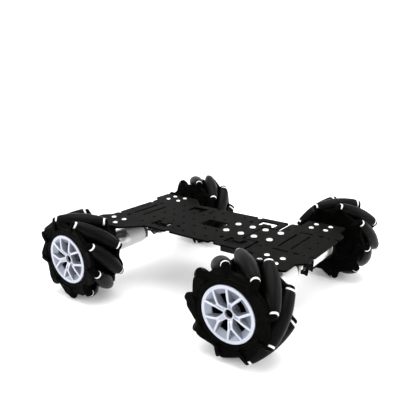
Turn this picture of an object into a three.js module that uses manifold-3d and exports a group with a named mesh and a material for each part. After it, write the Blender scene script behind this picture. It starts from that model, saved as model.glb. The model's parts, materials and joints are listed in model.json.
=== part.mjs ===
// Four-wheel mecanum robot chassis: a rear deck plate with two driven wheels, a front deck plate with two
// driven wheels, and a longitudinal swing shaft between them. Millimetres, +X to the front, +Y to the left,
// +Z up. The origin is on the ground, under the centre of the wheelbase and track.
import * as THREE from "three";
import { mergeVertices } from "three/addons/utils/BufferGeometryUtils.js";
import Module from "manifold-3d";

// ---------------------------------------------------------------- driving dimensions (mm, degrees)
const WHEEL_R = 48.5; // envelope radius of a 97 mm mecanum wheel
const AXLE_Z = 48.5; // axle height above the ground
const AXLE_X = 105.9; // half the wheelbase
const MID_Y = 109.9; // half the track, to the wheels' middle planes
const ROLLERS = 9;
const TILT = 48; // roller axis against the wheel axis
const ROLLER_D = 39.7; // wheel axis to the middle of a roller axis
const RUBBER_HALF = 24; // half the length of a roller's rubber
const ROLLER_HALF = 26.2; // half a roller's length, over its end discs
const DISC_R = 4.5;
const ROLLER_BORE_R = 2.2;
const PIN_R = 1.3;
const LUG_T = 26.35; // inner face of a lug, along the roller's axis from its middle
const PLATE_T = 2;
const DECK_Z = 74.7; // top of both deck plates
const SWING_Z = 61.4; // height of the swing shaft's axis
const SHAFT_R = 4;
const FACE_W = 22.4; // the flanges' lugs end here, from the wheel's middle plane
const GROUND_TRIM = -0.055; // the rollers are faceted, so the whole model sits down by this much to touch the ground
const BRACKET_HALF = 14;
const FACE_Y = 69.2; // gearbox front face, from the centre plane
const MOTOR_X = AXLE_X;
const GEARBOX_R = 12.5;
const CAN_R = 12.1;

// Wheels: outboard side, hand of the rollers, angle of the first roller and of the first spoke, as seen from outboard.
const WHEELS = [
  { name: "rear_right", x: -AXLE_X, side: -1, hand: -1, phase: 5.6, spoke: 38 },
  { name: "front_right", x: AXLE_X, side: -1, hand: 1, phase: 8.5, spoke: 16 },
  { name: "rear_left", x: -AXLE_X, side: 1, hand: 1, phase: 10.3, spoke: 30 },
  { name: "front_left", x: AXLE_X, side: 1, hand: -1, phase: 5, spoke: 52 },
];

const wasm = await Module();
wasm.setup();
const rad = THREE.MathUtils.degToRad;
const V = (x, y, z) => new THREE.Vector3(x, y, z);

// ---------------------------------------------------------------- materials
const mat = (color, roughness, metalness) => new THREE.MeshStandardMaterial({ color, roughness, metalness });
const M = {
  rubber: mat(0x2a2b2b, 0.62, 0),
  black: mat(0x161717, 0.5, 0),
  white: mat(0xdfe3ee, 0.3, 0),
  deck: mat(0x2f312f, 0.55, 0.6),
  bracket: mat(0x1d1e1e, 0.5, 0.6),
  silver: mat(0xc4c6c8, 0.3, 0.9),
  block: mat(0x343634, 0.42, 0.4),
};

// ---------------------------------------------------------------- solids
function solid(geometry) {
  const g = (geometry.index ? geometry.toNonIndexed() : geometry.clone());
  const p = new THREE.BufferGeometry().setAttribute("position", g.getAttribute("position"));
  const m = mergeVertices(p, 1e-4);
  const tri = [];
  const ix = m.index.array;
  for (let i = 0; i < ix.length; i += 3)
    if (ix[i] !== ix[i + 1] && ix[i + 1] !== ix[i + 2] && ix[i] !== ix[i + 2]) tri.push(ix[i], ix[i + 1], ix[i + 2]);
  const make = (t) => new wasm.Manifold(new wasm.Mesh({ numProp: 3, vertProperties: m.attributes.position.array, triVerts: new Uint32Array(t) }));
  const s = make(tri);
  if (s.volume() > 0) return s;
  for (let i = 0; i < tri.length; i += 3) [tri[i + 1], tri[i + 2]] = [tri[i + 2], tri[i + 1]];
  return make(tri);
}
function geometryOf(s) {
  const m = s.getMesh(), n = m.numProp, pos = new Float32Array(m.numVert * 3);
  for (let i = 0; i < m.numVert; i++) for (let k = 0; k < 3; k++) pos[3 * i + k] = m.vertProperties[n * i + k];
  const g = new THREE.BufferGeometry().setAttribute("position", new THREE.BufferAttribute(pos, 3)).setIndex(new THREE.BufferAttribute(new Uint32Array(m.triVerts), 1));
  return g;
}
const join = (list) => list.reduce((a, b) => a.add(b));
// A profile of [radius, height] turned about +Z. A profile that doesn't touch the axis closes on itself.
function turned(profile, segments, turn = 0) {
  const pts = profile.map(([r, z]) => new THREE.Vector2(r, z));
  if (profile[0][0] > 1e-6 || profile[profile.length - 1][0] > 1e-6) pts.push(pts[0].clone());
  const g = new THREE.LatheGeometry(pts, segments, turn);
  g.rotateX(Math.PI / 2);
  return solid(g);
}
// A polygon extruded from z0 to z1, with holes cut through it.
function prism(outline, z0, z1) {
  const g = new THREE.ExtrudeGeometry(new THREE.Shape(outline.map(([x, y]) => new THREE.Vector2(x, y))), { depth: z1 - z0, bevelEnabled: false, steps: 1 });
  g.translate(0, 0, z0);
  return solid(g);
}
function slab(outline, holes, z0, z1, matrix) {
  let s = prism(outline, z0, z1);
  if (holes.length) s = s.subtract(join(holes.map((h) => prism(h, z0 - 1, z1 + 1))));
  return matrix ? s.transform(matrix.elements.slice()) : s;
}
const ring = (x, y, r, n = 8) => Array.from({ length: n }, (_, i) => [x + r * Math.cos((2 * Math.PI * (i + 0.5)) / n), y + r * Math.sin((2 * Math.PI * (i + 0.5)) / n)]);
const rect = (x0, y0, x1, y1) => [[x0, y0], [x1, y0], [x1, y1], [x0, y1]];
// A slot with round ends, of full width w, from a to b along X or Y.
function slot(ax, ay, bx, by, w) {
  const r = w / 2, t = Math.atan2(by - ay, bx - ax), L = Math.hypot(bx - ax, by - ay), out = [];
  const c0 = [ax + r * Math.cos(t), ay + r * Math.sin(t)], c1 = [ax + (L - r) * Math.cos(t), ay + (L - r) * Math.sin(t)];
  for (const [c, s] of [[c1, -90], [c0, 90]]) for (const d of [0, 60, 120, 180]) { const q = t + rad(s + d); out.push([c[0] + r * Math.cos(q), c[1] + r * Math.sin(q)]); }
  return out;
}
const mirrored = (half) => half.concat(half.slice().reverse().map(([x, y]) => [x, -y]));
const both = (f) => [f(1), f(-1)];

// ---------------------------------------------------------------- deck plates
function plate(half, holes) {
  return slab(mirrored(half), holes, DECK_Z - PLATE_T, DECK_Z);
}
const rearHalf = [
  [-127.6, 27.6], [-123.6, 27.6], [-123.6, 31.6], [-127.6, 31.6], [-127.6, 41], [-136, 49.4], [-136, 71.2], [-133.5, 73.7],
  [-83.5, 73.7], [-61.5, 51.7], [-32.6, 51.7], [-32.6, 46.7], [-27.2, 46.7], [-27.2, 51.7], [28, 51.7], [28, 46.7], [33.4, 46.7], [33.4, 51.7],
  [67.4, 51.7], [69.4, 49.7], [69.4, 23], [51.5, 23],
];
const frontHalf = [
  [53, 19.6], [55, 21.6], [72.7, 21.6], [72.7, 49.7], [74.7, 51.7], [84, 51.7], [84, 71.2], [86.5, 73.7], [127.2, 73.7], [129.7, 71.2],
  [129.7, 54], [138.3, 45.4], [138.3, 31.2], [133.6, 31.2], [133.6, 28.8], [138.3, 28.8],
];
const flip = (poly, s) => (s > 0 ? poly : poly.map(([x, y]) => [x, -y]));
const uSlot = (x0, x1, t0, t1) => [[x0, 27], [t0, 27], [t0, 33.4], [t1, 33.4], [t1, 27], [x1, 27], [x1, 41.8], [x0, 41.8]];
const GRID = [-78, -62.4, -46.8, -31.2, -15.6, 0, 15.6];
const rearHoles = [
  slot(-108.7, -21.5, -108.7, 21.5, 3), slot(-93.7, -21.5, -93.7, 21.5, 2.6), rect(-15, -10, 13.5, 10),
  ...both((s) => ring(-109.5, 30 * s, 2.5)), ...both((s) => ring(-29.9, 30.8 * s, 2.3)), ...both((s) => ring(30.7, 30.8 * s, 2.3)),
  ...both((s) => flip(uSlot(40, 61.4, 45.2, 56.5), s)), ...both((s) => flip(uSlot(-62.5, -40.9, -57.3, -46.1), s)),
  ...[9.7, 18.3, 39].flatMap((y) => both((s) => ring(-124.4, y * s, 1.3, 6))),
  ...GRID.flatMap((x) => both((s) => ring(x, 19.2 * s, 1.5, 6))),
  ...[-78, -31.2, -15.6, 0, 15.6].flatMap((x) => both((s) => ring(x, 39.5 * s, 1.5, 6))),
  ...[-78, -62.4, -46.8, -31.2].map((x) => ring(x, 0, 1.5, 6)),
];
const frontHoles = [
  slot(94.2, -21.8, 94.2, 21.8, 2.4), slot(109, -21.8, 109, 21.8, 2.2),
  ...both((s) => slot(92.4, 29.9 * s, 110, 29.9 * s, 2.4)), ...both((s) => slot(115.8, 29.9 * s, 121.8, 29.9 * s, 3)),
  ...both((s) => ring(127.2, 29.9 * s, 1.2, 6)), ...both((s) => ring(124, 9.7 * s, 1.5, 6)), ...both((s) => ring(79.1, 30 * s, 1.5, 6)),
];

// ---------------------------------------------------------------- motor bracket and gearmotor, for the +Y side at x = 0
function bracket() {
  const flange = slab(rect(-BRACKET_HALF, 46.2, BRACKET_HALF, 71.5), [], 70.4, 72.4);
  // the face stands on edge: outline in X and height, extruded along Y
  const face = [[-BRACKET_HALF, 72.4], [-BRACKET_HALF, 44], [-8, 34.6], [8, 34.6], [BRACKET_HALF, 44], [BRACKET_HALF, 72.4]];
  const up = new THREE.Matrix4().makeBasis(V(1, 0, 0), V(0, 0, 1), V(0, -1, 0));
  const f = slab(face.map(([x, z]) => [x, z]), [ring(0, AXLE_Z, 4.1, 12)], -71.5, -69.5, up);
  return flange.add(f);
}
function gearmotor() {
  // profile along the axis: height 0 at the gearbox face, rising outboard
  const p = [
    [0, -57.2], [9.6, -57.2], [9.6, -55.3], [10.8, -54.2], [10.8, -50.3], [CAN_R, -50.3], [CAN_R, -23], [GEARBOX_R, -23], [GEARBOX_R, 0],
    [2, 0], [2, 11.4], [0, 11.4],
  ];
  return turned(p, 16);
}

// ---------------------------------------------------------------- swing joint
function bearingBlock() {
  const outline = [[-17, 50.4], [17, 50.4], [17, 72.4], [-17, 72.4]];
  const along = new THREE.Matrix4().makeBasis(V(0, 1, 0), V(0, 0, 1), V(1, 0, 0));
  return slab(outline, [ring(0, SWING_Z, SHAFT_R + 0.35, 16)], 18.7, 48.7, along);
}
function swingShaft() {
  const outline = [[-17, 53.4], [-14, 50.4], [14, 50.4], [17, 53.4], [17, 72.4], [-17, 72.4]];
  const along = new THREE.Matrix4().makeBasis(V(0, 1, 0), V(0, 0, 1), V(1, 0, 0));
  const block = slab(outline, [], 55.5, 83.5, along);
  const shaft = slab(ring(0, SWING_Z, SHAFT_R, 16), [], 9, 60, along);
  const collar = slab(ring(0, SWING_Z, 7.5, 12), [], 11, 17.4, along);
  return join([block, shaft, collar]);
}

// ---------------------------------------------------------------- wheel pieces, about +Z with +Z outboard, 0 at the middle plane
const sinT = Math.sin(rad(TILT)), cosT = Math.cos(rad(TILT));
const profileR = (t) => WHEEL_R - Math.hypot(ROLLER_D, t * sinT) + 0.45 * (t / 24) ** 2;
// The frame of roller k: its centre, and its axis u, with y of the frame pointing away from the wheel axis.
function rollerFrame(wheel, k) {
  const a = rad(wheel.phase + (360 / ROLLERS) * k);
  const er = V(Math.sin(a), Math.cos(a), 0), et = V(Math.cos(a), -Math.sin(a), 0);
  const u = et.clone().multiplyScalar(wheel.hand * sinT).add(V(0, 0, cosT));
  const w = er.clone().cross(u);
  return { er, et, u, w, centre: er.clone().multiplyScalar(ROLLER_D), matrix: new THREE.Matrix4().makeBasis(w, er, u).setPosition(er.clone().multiplyScalar(ROLLER_D)) };
}
function roller() {
  const p = [[DISC_R, -ROLLER_HALF]];
  for (let i = 0; i <= 4; i++) { const t = -RUBBER_HALF + (i * RUBBER_HALF) / 2; p.push([profileR(t), t]); }
  p.push([DISC_R, ROLLER_HALF], [ROLLER_BORE_R, ROLLER_HALF], [ROLLER_BORE_R, -ROLLER_HALF]);
  return turned(p, 10);
}
function rollerSpace(wheel) {
  const e = LUG_T - 0.05, p = [[0, -e]];
  for (let i = 0; i <= 3; i++) { const t = -e + (i * 2 * e) / 3; p.push([profileR(t) + 1.3, t]); }
  p.push([0, e]);
  const one = turned(p, 8);
  const list = [];
  for (let k = 0; k < ROLLERS; k++) list.push(one.transform(rollerFrame(wheel, k).matrix.elements.slice()));
  return join(list);
}
// A lug: a flat plate square to the roller's axis, with a round end over the pin. s is +1 outboard, -1 inboard.
function lug(wheel, k, s) {
  const f = rollerFrame(wheel, k), c = f.centre.clone().addScaledVector(f.u, s * LUG_T);
  const out = V(c.x, c.y, 0).normalize(), n = f.u.clone().multiplyScalar(s);
  const v = out.clone().addScaledVector(n, -out.dot(n)).normalize(), q = v.clone().cross(n);
  const pts = [[7, -12], [4.3, -1], [3.3, 2], [1.2, 3.4], [-1.2, 3.4], [-3.3, 2], [-4.3, -1], [-7, -12]];
  return slab(pts, [], 0, 2.4, new THREE.Matrix4().makeBasis(q, v, n).setPosition(c));
}
const DISH = [[28.4, 11.4], [36, 13.4], [39.5, 15.6], [39.5, 19.4], [36, 20.3]]; // the flanges' dish, outboard half
function outerFlange(wheel, space) {
  let s = turned([[25.4, 0.2], [28.4, 0.2], ...DISH, [27.75, 20.3], [27.75, 10.8], [25.4, 10.8]], 18);
  for (let k = 0; k < ROLLERS; k++) s = s.add(lug(wheel, k, 1));
  const seat = turned([[0, 10.8], [27.75, 10.8], [27.75, 40], [0, 40]], 18);
  return s.subtract(seat).subtract(space).subtract(prism(rect(-60, -60, 60, 60), FACE_W, FACE_W + 10));
}
function innerFlange(wheel, space) {
  const dish = DISH.map(([r, z]) => [r, -z]).reverse();
  let s = turned([[8.5, -15.2], [26.5, -15.2], ...dish, [28.4, -0.2], [25.4, -0.2], [25.4, -12.6], [8.5, -12.6]], 18);
  for (let k = 0; k < ROLLERS; k++) s = s.add(lug(wheel, k, -1));
  s = s.subtract(space).subtract(prism(rect(-60, -60, 60, 60), -FACE_W - 10, -FACE_W));
  const pin = slab(ring(0, 0, PIN_R, 5), [], -28.2, LUG_T - 0.2);
  for (let k = 0; k < ROLLERS; k++) s = s.add(pin.transform(rollerFrame(wheel, k).matrix.elements.slice()));
  return s;
}
function hub(wheel) {
  const parts = [
    turned([[22.5, 11.4], [27.35, 11.4], [27.35, 21], [24.3, 20.85], [18.9, 17.5], [18.7, 14.9]], 18), // rim, dished towards the boss
    turned([[0, -19.4], [8, -19.4], [8, 8.8], [6.3, 9], [6, 17.4], [5.5, 18.15], [3.75, 18.15], [3.75, 16.4], [0, 16.4]], 10), // core and boss
  ];
  for (let k = 0; k < 5; k++) {
    const m = new THREE.Matrix4().makeRotationZ(-rad(wheel.spoke + 72 * k));
    parts.push(slab([[-1.9, 4.8], [1.9, 4.8], [2.6, 12], [7.6, 21.6], [-7.6, 21.6], [-2.6, 12]], [], 13.4, 15.2, m)); // floor
    for (const s of [1, -1]) {
      // one arm of the fork: up the stem, then leaning out to the rim
      const arm = [[0.7, 4.8], [2.4, 4.8], [4, 12.4], [9.2, 23.3], [7, 23.9], [2, 12.9]].map(([x, y]) => [s * x, y]);
      parts.push(slab(s > 0 ? arm : arm.reverse(), [], 13.4, 18.2, m));
    }
  }
  const six = Array.from({ length: 6 }, (_, i) => [6.93 * Math.cos(rad(60 * i)), 6.93 * Math.sin(rad(60 * i))]);
  return join(parts).add(slab(six, [], -26, -19)).add(slab(six, [ring(0, 0, 2.4, 8)], -37, -25)); // six-sided coupling
}

// ---------------------------------------------------------------- assembly
const root = new THREE.Group();
root.position.z = GROUND_TRIM;
const add = (parent, name, s, material) => {
  const mesh = new THREE.Mesh(geometryOf(s), material);
  mesh.name = name;
  parent.add(mesh);
  return mesh;
};
add(root, "rear_deck_plate", plate(rearHalf, rearHoles), M.deck);
add(root, "front_deck_plate", plate(frontHalf, frontHoles), M.deck);
add(root, "rear_bearing_block", bearingBlock(), M.block);
add(root, "swing_shaft_block", swingShaft(), M.block);

const bracketSolid = bracket(), motorSolid = gearmotor(), rollerGeometry = geometryOf(roller());
for (const wheel of WHEELS) {
  // the bracket and the motor are made for the left side, and turned half round for the right
  const drive = new THREE.Group();
  drive.position.set(wheel.x, 0, 0);
  drive.rotation.z = wheel.side > 0 ? 0 : Math.PI;
  root.add(drive);
  add(drive, wheel.name + "_motor_bracket", bracketSolid, M.bracket);
  const motor = add(drive, wheel.name + "_gearmotor", motorSolid, M.silver);
  motor.position.set(0, FACE_Y, AXLE_Z);
  motor.rotation.x = -Math.PI / 2;

  const spin = new THREE.Group();
  spin.position.set(wheel.x, wheel.side * MID_Y, AXLE_Z);
  // +Z of the wheel's frame points outboard, and +Y of it up
  spin.quaternion.setFromRotationMatrix(new THREE.Matrix4().makeBasis(V(-wheel.side, 0, 0), V(0, 0, 1), V(0, wheel.side, 0)));
  root.add(spin);
  const space = rollerSpace(wheel);
  add(spin, wheel.name + "_wheel_hub", hub(wheel), M.white);
  add(spin, wheel.name + "_outer_flange", outerFlange(wheel, space), M.black);
  add(spin, wheel.name + "_inner_flange", innerFlange(wheel, space), M.black);
  for (let k = 0; k < ROLLERS; k++) {
    const r = new THREE.Mesh(rollerGeometry, M.rubber);
    r.name = wheel.name + "_roller_" + (k + 1);
    const f = rollerFrame(wheel, k);
    r.position.copy(f.centre);
    r.quaternion.setFromRotationMatrix(f.matrix);
    spin.add(r);
  }
}
export default root;
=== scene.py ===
import json
import math

import bmesh
import bpy
import numpy as np
from mathutils import Matrix, Vector
from mathutils.geometry import tessellate_polygon

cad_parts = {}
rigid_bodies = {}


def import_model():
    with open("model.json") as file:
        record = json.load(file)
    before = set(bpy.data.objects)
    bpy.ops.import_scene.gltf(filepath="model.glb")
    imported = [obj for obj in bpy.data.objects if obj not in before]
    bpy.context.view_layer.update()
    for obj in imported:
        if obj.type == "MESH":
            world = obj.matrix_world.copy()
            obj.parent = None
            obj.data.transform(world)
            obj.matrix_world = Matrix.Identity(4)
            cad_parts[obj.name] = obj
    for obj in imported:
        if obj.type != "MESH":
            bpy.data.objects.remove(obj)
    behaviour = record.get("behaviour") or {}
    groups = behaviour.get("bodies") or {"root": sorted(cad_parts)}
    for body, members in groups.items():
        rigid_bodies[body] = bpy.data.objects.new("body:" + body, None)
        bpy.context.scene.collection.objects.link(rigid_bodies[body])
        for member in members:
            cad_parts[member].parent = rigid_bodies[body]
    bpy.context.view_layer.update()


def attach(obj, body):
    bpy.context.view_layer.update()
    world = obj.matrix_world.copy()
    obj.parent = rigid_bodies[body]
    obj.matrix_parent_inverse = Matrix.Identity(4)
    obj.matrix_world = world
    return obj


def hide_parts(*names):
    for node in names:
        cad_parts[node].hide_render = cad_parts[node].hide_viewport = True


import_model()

MM = 0.001
scene = bpy.context.scene

# ------------------------------------------------------------------ dimensions, mm
DROP = -0.055
AXLE_Z = 48.5 + DROP
AXLE_X = 105.9
MID_Y = 109.9
WHEEL_R, ROLLER_D, ROLLERS = 48.5, 39.7, 9
DECK_TOP = 74.7 + DROP
DECK_LOW = DECK_TOP - 2.0
SWING_Z = 61.4 + DROP
FACE_Y = 69.2
WHEELS = [
    ("rear_right", -AXLE_X, -1, -1, 5.6, 38, "rear_frame"),
    ("front_right", AXLE_X, -1, 1, 8.5, 16, "front_frame"),
    ("rear_left", -AXLE_X, 1, 1, 10.3, 30, "rear_frame"),
    ("front_left", AXLE_X, 1, -1, 5.0, 52, "front_frame"),
]
TILT = 48
ST, CT = math.sin(math.radians(TILT)), math.cos(math.radians(TILT))


# ------------------------------------------------------------------ materials
def material(name, color, rough, metal=0.0, **more):
    m = bpy.data.materials.new(name)
    m.use_nodes = True
    b = m.node_tree.nodes["Principled BSDF"]
    b.inputs["Base Color"].default_value = (*color, 1)
    b.inputs["Roughness"].default_value = rough
    b.inputs["Metallic"].default_value = metal
    for k, v in more.items():
        b.inputs[k.replace("_", " ")].default_value = v
    return m, m.node_tree, b


def noise(t, scale, detail=3.0, rough=0.55, stretch=None):
    c = t.nodes.new("ShaderNodeTexCoord")
    n = t.nodes.new("ShaderNodeTexNoise")
    n.inputs["Scale"].default_value = scale
    n.inputs["Detail"].default_value = detail
    n.inputs["Roughness"].default_value = rough
    if stretch:
        mp = t.nodes.new("ShaderNodeMapping")
        mp.inputs["Scale"].default_value = stretch
        t.links.new(c.outputs["Object"], mp.inputs["Vector"])
        t.links.new(mp.outputs["Vector"], n.inputs["Vector"])
    else:
        t.links.new(c.outputs["Object"], n.inputs["Vector"])
    return n


def vary_color(t, b, n, low, high, lo=0.3, hi=0.7):
    r = t.nodes.new("ShaderNodeValToRGB")
    r.color_ramp.elements[0].position, r.color_ramp.elements[0].color = lo, (*low, 1)
    r.color_ramp.elements[1].position, r.color_ramp.elements[1].color = hi, (*high, 1)
    t.links.new(n.outputs["Fac"], r.inputs["Fac"])
    t.links.new(r.outputs["Color"], b.inputs["Base Color"])
    return r


def vary_rough(t, b, n, low, high):
    r = t.nodes.new("ShaderNodeMapRange")
    r.inputs["From Min"].default_value, r.inputs["From Max"].default_value = 0.3, 0.7
    r.inputs["To Min"].default_value, r.inputs["To Max"].default_value = low, high
    t.links.new(n.outputs["Fac"], r.inputs["Value"])
    t.links.new(r.outputs["Result"], b.inputs["Roughness"])


def bump(t, b, n, strength, distance):
    u = t.nodes.new("ShaderNodeBump")
    u.inputs["Strength"].default_value = strength
    u.inputs["Distance"].default_value = distance
    t.links.new(n.outputs["Fac"], u.inputs["Height"])
    t.links.new(u.outputs["Normal"], b.inputs["Normal"])


def grained(name, low, high, rough, metal, grain, strength, distance, stretch=None, patch=60.0, **more):
    """A material with large soft patches of colour, a fine grain that moves roughness, and the same grain as relief."""
    m, t, b = material(name, high, rough[1], metal, **more)
    vary_color(t, b, noise(t, patch, 4.0), low, high)
    fine = noise(t, grain, 3.0, 0.6, stretch)
    vary_rough(t, b, fine, *rough)
    bump(t, b, fine, strength, distance)
    return m


M_DECK = grained("anodised_deck", (0.0034, 0.0039, 0.0033), (0.0043, 0.0049, 0.0042), (0.50, 0.62), 0.0, 2600, 0.22, 0.00006, Specular_IOR_Level=0.015)
M_DECK_EDGE = grained("anodised_edge", (0.0008, 0.0009, 0.0008), (0.0013, 0.0014, 0.0013), (0.40, 0.52), 0.0, 2200, 0.25, 0.00005, Specular_IOR_Level=0.01)
M_BRACKET = grained("powder_black", (0.003, 0.0032, 0.003), (0.005, 0.0053, 0.005), (0.42, 0.55), 0.0, 1500, 0.3, 0.00008, Specular_IOR_Level=0.04)
M_RUBBER = grained("roller_rubber", (0.0009, 0.0010, 0.0008), (0.0014, 0.0016, 0.0013), (0.34, 0.43), 0.0, 1900, 0.16, 0.00006, Specular_IOR_Level=0.06)
M_FLANGE = grained("flange_plastic", (0.0008, 0.0009, 0.0007), (0.0014, 0.0016, 0.0013), (0.42, 0.55), 0.0, 1400, 0.20, 0.00005, Specular_IOR_Level=0.015)
M_HUB = grained("hub_silver_plastic", (0.44, 0.46, 0.53), (0.47, 0.49, 0.56), (0.26, 0.32), 0.45, 3000, 0.02, 0.00001, Coat_Weight=0.25, Coat_Roughness=0.12)
# darker copy of the hub's silver plastic: painted shade for the hub's pocket floors, inner rim cone and ridge sides
M_HUB_PAINTED_SHADE = grained("hub_silver_painted_shade", (0.22, 0.24, 0.29), (0.24, 0.26, 0.31), (0.30, 0.38), 0.35, 3000, 0.02, 0.00001)
M_DISC = grained("end_disc_white", (0.86, 0.86, 0.86), (0.93, 0.93, 0.93), (0.30, 0.42), 0.0, 1200, 0.08, 0.00004)
M_SCREW = grained("screw_steel", (0.78, 0.78, 0.79), (0.90, 0.90, 0.90), (0.16, 0.26), 1.0, 2600, 0.05, 0.00002)
M_STEEL = grained("plain_steel", (0.50, 0.50, 0.51), (0.62, 0.62, 0.62), (0.22, 0.34), 1.0, 1800, 0.08, 0.00003)
M_CAN = grained("motor_can", (0.70, 0.70, 0.70), (0.76, 0.76, 0.755), (0.48, 0.54), 0.12, 2600, 0.03, 0.00001, stretch=(1, 1, 0.06))
M_GEARBOX = grained("gearbox_plate", (0.72, 0.72, 0.72), (0.78, 0.78, 0.77), (0.30, 0.37), 1.0, 2600, 0.03, 0.00001, stretch=(1, 1, 0.06))
M_BLOCK = grained("anodised_block", (0.0024, 0.0027, 0.0024), (0.0036, 0.0040, 0.0036), (0.36, 0.48), 0.0, 1600, 0.20, 0.00004, stretch=(0.08, 1, 1), Specular_IOR_Level=0.10)
M_BRASS = grained("brass", (0.16, 0.085, 0.035), (0.22, 0.12, 0.05), (0.22, 0.36), 1.0, 1300, 0.10, 0.00003)
M_BOARD = grained("board_black", (0.006, 0.007, 0.009), (0.011, 0.012, 0.016), (0.28, 0.40), 0.0, 900, 0.10, 0.00003)
M_NYLON = grained("connector_nylon", (0.82, 0.82, 0.80), (0.90, 0.90, 0.88), (0.34, 0.46), 0.0, 900, 0.06, 0.00003)
M_RING = grained("motor_end_ring", (0.028, 0.029, 0.030), (0.045, 0.046, 0.048), (0.36, 0.48), 0.3, 1200, 0.12, 0.00003)
M_PIN = grained("blackened_pin", (0.020, 0.020, 0.021), (0.035, 0.035, 0.036), (0.30, 0.42), 1.0, 1500, 0.08, 0.00003)
M_WIRE = grained("wire_black", (0.0012, 0.0012, 0.0012), (0.0020, 0.0020, 0.0020), (0.40, 0.52), 0.0, 900, 0.08, 0.00003, Specular_IOR_Level=0.06)


# ------------------------------------------------------------------ mesh code
def unit(v):
    return v / max(np.linalg.norm(v), 1e-12)


def offset_poly(p, d):
    """A closed counter-clockwise polygon moved outwards by d."""
    p = np.asarray(p, float)
    out = []
    for i in range(len(p)):
        e1, e2 = unit(p[i] - p[i - 1]), unit(p[(i + 1) % len(p)] - p[i])
        n1, n2 = np.array([e1[1], -e1[0]]), np.array([e2[1], -e2[0]])
        out.append(p[i] + d * (n1 + n2) / max(1 + n1 @ n2, 0.25))
    return np.array(out)


def area(p):
    p = np.asarray(p, float)
    return 0.5 * np.sum(p[:, 0] * np.roll(p[:, 1], -1) - np.roll(p[:, 0], -1) * p[:, 1])


def ccw(p):
    p = np.asarray(p, float)
    return p if area(p) > 0 else p[::-1]


def fillet(p, r, n=5):
    """Rounds each corner of a closed polygon; r is one radius or one for each corner."""
    p = np.asarray(p, float)
    rs = [r] * len(p) if np.isscalar(r) else list(r)
    out = []
    for i in range(len(p)):
        a, b, c = p[i - 1], p[i], p[(i + 1) % len(p)]
        u, v = unit(a - b), unit(c - b)
        ang = math.acos(max(-1, min(1, float(u @ v))))
        if rs[i] < 0.02 or ang > math.radians(170):
            out.append(b)
            continue
        cut = min(rs[i] / math.tan(ang / 2), 0.48 * np.linalg.norm(a - b), 0.48 * np.linalg.norm(c - b))
        rad = cut * math.tan(ang / 2)
        centre = b + unit(u + v) * (rad / math.sin(ang / 2))
        s, e = b + u * cut - centre, b + v * cut - centre
        a0, a1 = math.atan2(s[1], s[0]), math.atan2(e[1], e[0])
        d = (a1 - a0 + math.pi) % (2 * math.pi) - math.pi
        for k in range(n + 1):
            q = a0 + d * k / n
            out.append(centre + rad * np.array([math.cos(q), math.sin(q)]))
    return np.array(out)


def circle(x, y, r, n=28):
    return np.array([[x + r * math.cos(2 * math.pi * i / n), y + r * math.sin(2 * math.pi * i / n)] for i in range(n)])


def slot_loop(ax, ay, bx, by, w, n=8):
    t, length, r = math.atan2(by - ay, bx - ax), math.hypot(bx - ax, by - ay), w / 2
    d = np.array([math.cos(t), math.sin(t)])
    c0, c1 = np.array([ax, ay]) + d * r, np.array([ax, ay]) + d * (length - r)
    out = []
    for c, s in ((c1, -90), (c0, 90)):
        for k in range(n + 1):
            q = t + math.radians(s + 180 * k / n)
            out.append(c + r * np.array([math.cos(q), math.sin(q)]))
    return np.array(out)


class Build:
    """Collects closed shells in millimetres, and makes one object of them in metres."""

    def __init__(self):
        self.v, self.f, self.m, self.n = [], [], [], 0

    def add(self, part, mat=0, matrix=None):
        verts, faces = part[0], part[1]
        verts = np.asarray(verts, float)
        if matrix is not None:
            a = np.array(matrix, float)
            verts = verts @ a[:3, :3].T + a[:3, 3]
        self.v.append(verts)
        mats = part[2] if len(part) > 2 else [0] * len(faces)
        self.f += [tuple(i + self.n for i in f) for f in faces]
        self.m += [mat + k for k in mats]
        self.n += len(verts)
        return self

    def mesh(self, name, mats, angle=32):
        me = bpy.data.meshes.new(name)
        me.from_pydata((np.concatenate(self.v) * MM).tolist(), [], self.f)
        for m in mats:
            me.materials.append(m)
        me.polygons.foreach_set("material_index", np.array(self.m, np.int32))
        tidy(me, angle)
        return me

    def obj(self, name, mats, angle=32):
        return place(self.mesh(name, mats, angle), name)


def tidy(me, angle=32):
    bm = bmesh.new()
    bm.from_mesh(me)
    bmesh.ops.remove_doubles(bm, verts=bm.verts, dist=1e-8)
    bmesh.ops.dissolve_degenerate(bm, edges=bm.edges, dist=1e-8)
    bmesh.ops.recalc_face_normals(bm, faces=bm.faces)
    bm.to_mesh(me)
    bm.free()
    me.shade_smooth()
    me.set_sharp_from_angle(angle=math.radians(angle))
    me.update()


def place(me, name, matrix=None):
    o = bpy.data.objects.new(name, me)
    scene.collection.objects.link(o)
    if matrix is not None:
        o.matrix_world = matrix
    return o


def fixed(me, name, matrix):
    """A copy of the mesh with the matrix worked into its points, so that the object's box is exact."""
    me = me.copy()
    me.name = name
    me.transform(matrix)
    me.update()
    return place(me, name)


def soften(o, keep=True):
    w = o.modifiers.new("weighted_normals", "WEIGHTED_NORMAL")
    w.keep_sharp = keep
    w.weight = 60
    return o


def lathe(profile, seg=64, closed=False):
    """A profile of (radius, height) turned about Z. It starts and ends on the axis, or closes on itself."""
    verts, rows = [], []
    for r, z in profile:
        if r < 1e-6:
            rows.append([len(verts)])
            verts.append((0, 0, z))
        else:
            rows.append(list(range(len(verts), len(verts) + seg)))
            verts += [(r * math.cos(2 * math.pi * i / seg), r * math.sin(2 * math.pi * i / seg), z) for i in range(seg)]
    faces = []
    pairs = list(zip(rows, rows[1:])) + ([(rows[-1], rows[0])] if closed else [])
    for a, b in pairs:
        for i in range(seg):
            j = (i + 1) % seg
            if len(a) == 1 and len(b) == 1:
                continue
            if len(a) == 1:
                faces.append((a[0], b[j], b[i]))
            elif len(b) == 1:
                faces.append((a[i], a[j], b[0]))
            else:
                faces.append((a[i], a[j], b[j], b[i]))
    return verts, faces


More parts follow.
